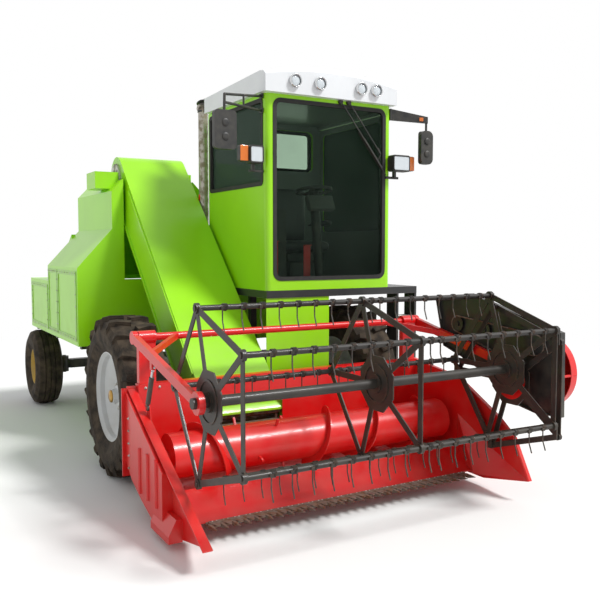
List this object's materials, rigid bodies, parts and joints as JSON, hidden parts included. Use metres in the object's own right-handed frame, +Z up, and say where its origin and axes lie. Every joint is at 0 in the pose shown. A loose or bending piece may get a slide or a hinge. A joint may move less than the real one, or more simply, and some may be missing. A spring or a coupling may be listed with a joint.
{
  "type": "self-propelled forage harvester with reel header",
  "caption": "Self-propelled forage harvester: tined reel, auger and knife header on a steep conveyor, offset glazed cab, crop bin, drive wheels in front and steered wheels behind.",
  "frame": {"origin": "on the ground, under the middle of the machine's box", "axes": "+X to the machine's left, +Y to its rear, +Z up; the reel and knife face -Y"},
  "size_m": [2.865, 6.0392, 3.2405],
  "materials": {
    "green": "used paint",
    "dark_green": "used paint",
    "red": "used paint",
    "black": "used paint",
    "reel_grey": "used paint",
    "tyre": "as made",
    "rim_silver": "used paint",
    "rim_yellow": "used paint",
    "roof_white": "used paint",
    "glass": "as made",
    "steel": "as made",
    "seat_vinyl": "as made",
    "plastic_black": "as made",
    "lamp_chrome": "as made",
    "engine_grey": "as made"
  },
  "bodies": {
    "chassis": {"chassis_frame": "black", "front_axle": "black", "rear_axle": "black", "engine": "engine_grey", "rear_hitch": "black", "crop_bin": "green", "engine_hood": "green", "cab_frame": "green", "cab_roof": "roof_white", "cab_glass": "glass", "seat": "seat_vinyl", "cab_controls": "plastic_black", "cab_deck": "black", "front_panel": "green", "ladder": "black", "handrail": "black", "exhaust": "steel", "mirrors": "plastic_black", "lamps": "lamp_chrome", "headlamps": "lamp_chrome", "side_panels": "dark_green"},
    "drive_wheel_left": {"drive_tyre_left": "tyre", "drive_rim_left": "rim_silver"},
    "drive_wheel_right": {"drive_tyre_right": "tyre", "drive_rim_right": "rim_silver"},
    "knuckle_left": {"knuckle_left": "black"},
    "knuckle_right": {"knuckle_right": "black"},
    "steer_wheel_left": {"steer_tyre_left": "tyre", "steer_rim_left": "rim_yellow"},
    "steer_wheel_right": {"steer_tyre_right": "tyre", "steer_rim_right": "rim_yellow"},
    "cab_door": {"cab_door": "green", "door_glass": "glass"},
    "tail_door": {"tail_door": "green"},
    "header": {"conveyor_trunk": "green", "conveyor_head": "steel", "conveyor_chain": "steel", "header_frame": "red", "dividers": "red", "cutter_guards": "steel"},
    "knife": {"knife": "steel"},
    "auger": {"auger": "red"},
    "reel_arms": {"reel_arms": "red", "reel_drive": "black", "reel_cover": "red"},
    "reel": {"reel": "reel_grey", "reel_shaft": "reel_grey", "reel_sheave": "reel_grey"},
    "offset_star": {"reel_offset_star": "reel_grey"},
    "reel_bar_1": {"reel_bar_1": "reel_grey"},
    "reel_bar_2": {"reel_bar_2": "reel_grey"},
    "reel_bar_3": {"reel_bar_3": "reel_grey"},
    "reel_bar_4": {"reel_bar_4": "reel_grey"},
    "reel_bar_5": {"reel_bar_5": "reel_grey"},
    "lift_barrel_left": {"lift_barrel_left": "black"},
    "lift_barrel_right": {"lift_barrel_right": "black"},
    "lift_rod_left": {"lift_rod_left": "black"},
    "lift_rod_right": {"lift_rod_right": "black"},
    "reel_barrel": {"reel_barrel": "reel_grey"},
    "reel_rod": {"reel_rod": "black"}
  },
  "joints": [
    {"name": "drive_left_spin", "type": "hinge", "parent": "chassis", "child": "drive_wheel_left", "pos_m": [0.9125, -0.60432, 0.6325], "axis": [1, 0, 0], "continuous": true},
    {"name": "steer_left", "type": "hinge", "parent": "chassis", "child": "knuckle_left", "pos_m": [0.6775, 2.59568, 0.4225], "axis": [0, 0, 1], "range_deg": [-30, 30]},
    {"name": "steer_left_spin", "type": "hinge", "parent": "knuckle_left", "child": "steer_wheel_left", "pos_m": [0.9125, 2.59568, 0.4225], "axis": [1, 0, 0], "continuous": true},
    {"name": "drive_right_spin", "type": "hinge", "parent": "chassis", "child": "drive_wheel_right", "pos_m": [-1.1675, -0.60432, 0.6325], "axis": [1, 0, 0], "continuous": true},
    {"name": "steer_right", "type": "hinge", "parent": "chassis", "child": "knuckle_right", "pos_m": [-0.9325, 2.59568, 0.4225], "axis": [0, 0, 1], "range_deg": [-30, 30]},
    {"name": "steer_right_spin", "type": "hinge", "parent": "knuckle_right", "child": "steer_wheel_right", "pos_m": [-1.1675, 2.59568, 0.4225], "axis": [1, 0, 0], "continuous": true},
    {"name": "cab_door_swing", "type": "hinge", "parent": "chassis", "child": "cab_door", "pos_m": [1.0685, 0.02968, 2.15], "axis": [0, 0, 1], "range_deg": [0, 85]},
    {"name": "tail_door_swing", "type": "hinge", "parent": "chassis", "child": "tail_door", "pos_m": [-0.1275, 2.64368, 1.392], "axis": [1, 0, 0], "range_deg": [0, 90]},
    {"name": "header_lift", "type": "hinge", "parent": "chassis", "child": "header", "pos_m": [-0.1275, 0.73568, 2.46], "axis": [-1, 0, 0], "range_deg": [0, 8]},
    {"name": "knife_stroke", "type": "slide", "parent": "header", "child": "knife", "axis": [1, 0, 0], "range_m": [-0.0381, 0.0381]},
    {"name": "auger_spin", "type": "hinge", "parent": "header", "child": "auger", "pos_m": [-0.1275, -1.79432, 0.44], "axis": [1, 0, 0], "continuous": true},
    {"name": "reel_lift", "type": "hinge", "parent": "header", "child": "reel_arms", "pos_m": [-0.1275, -1.39432, 1.18], "axis": [-1, 0, 0], "range_deg": [0, 20]},
    {"name": "reel_spin", "type": "hinge", "parent": "reel_arms", "child": "reel", "pos_m": [-0.1275, -2.53432, 0.935], "axis": [1, 0, 0], "continuous": true},
    {"name": "offset_star_spin", "type": "hinge", "parent": "reel_arms", "child": "offset_star", "pos_m": [-0.1275, -2.53432, 0.855], "axis": [1, 0, 0], "continuous": true},
    {"name": "reel_bar_1_turn", "type": "hinge", "parent": "reel", "child": "reel_bar_1", "pos_m": [-0.1275, -2.97118, 0.6176], "axis": [1, 0, 0], "continuous": true},
    {"name": "reel_bar_2_turn", "type": "hinge", "parent": "reel", "child": "reel_bar_2", "pos_m": [-0.1275, -2.97118, 1.2524], "axis": [1, 0, 0], "continuous": true},
    {"name": "reel_bar_3_turn", "type": "hinge", "parent": "reel", "child": "reel_bar_3", "pos_m": [-0.1275, -2.36745, 1.44857], "axis": [1, 0, 0], "continuous": true},
    {"name": "reel_bar_4_turn", "type": "hinge", "parent": "reel", "child": "reel_bar_4", "pos_m": [-0.1275, -1.99432, 0.935], "axis": [1, 0, 0], "continuous": true},
    {"name": "reel_bar_5_turn", "type": "hinge", "parent": "reel", "child": "reel_bar_5", "pos_m": [-0.1275, -2.36745, 0.42143], "axis": [1, 0, 0], "continuous": true},
    {"name": "lift_barrel_left_turn", "type": "hinge", "parent": "chassis", "child": "lift_barrel_left", "pos_m": [-0.1275, -0.75432, 0.33], "axis": [-1, 0, 0], "range_deg": [0, 5.57]},
    {"name": "lift_rod_left_slide", "type": "slide", "parent": "lift_barrel_left", "child": "lift_rod_left", "axis": [0, -0.7849, 0.6196], "range_m": [0, 0.36069]},
    {"name": "lift_barrel_right_turn", "type": "hinge", "parent": "chassis", "child": "lift_barrel_right", "pos_m": [-0.1275, -0.75432, 0.33], "axis": [-1, 0, 0], "range_deg": [0, 5.57]},
    {"name": "lift_rod_right_slide", "type": "slide", "parent": "lift_barrel_right", "child": "lift_rod_right", "axis": [0, -0.7849, 0.6196], "range_m": [0, 0.36069]},
    {"name": "reel_barrel_turn", "type": "hinge", "parent": "header", "child": "reel_barrel", "pos_m": [-0.1275, -1.65432, 0.745], "axis": [-1, 0, 0], "range_deg": [0, 3.96]},
    {"name": "reel_rod_slide", "type": "slide", "parent": "reel_barrel", "child": "reel_rod", "axis": [0, -0.4102, 0.912], "range_m": [0, 0.14256]}
  ],
  "couplings": [
    {"joint": "offset_star_spin", "follows": "reel_spin", "ratio": 1},
    {"joint": "steer_right", "follows": "steer_left", "ratio": 1},
    {"joint": "reel_bar_1_turn", "follows": "reel_spin", "ratio": -1},
    {"joint": "reel_bar_2_turn", "follows": "reel_spin", "ratio": -1},
    {"joint": "reel_bar_3_turn", "follows": "reel_spin", "ratio": -1},
    {"joint": "reel_bar_4_turn", "follows": "reel_spin", "ratio": -1},
    {"joint": "reel_bar_5_turn", "follows": "reel_spin", "ratio": -1},
    {"joint": "lift_barrel_left_turn", "follows": "header_lift", "ratio": 0.6956},
    {"joint": "lift_rod_left_slide", "follows": "header_lift", "m_per_rad": 2.5832},
    {"joint": "lift_barrel_right_turn", "follows": "header_lift", "ratio": 0.6956},
    {"joint": "lift_rod_right_slide", "follows": "header_lift", "m_per_rad": 2.5832},
    {"joint": "reel_barrel_turn", "follows": "reel_lift", "ratio": 0.19814},
    {"joint": "reel_rod_slide", "follows": "reel_lift", "m_per_rad": 0.40837}
  ]
}
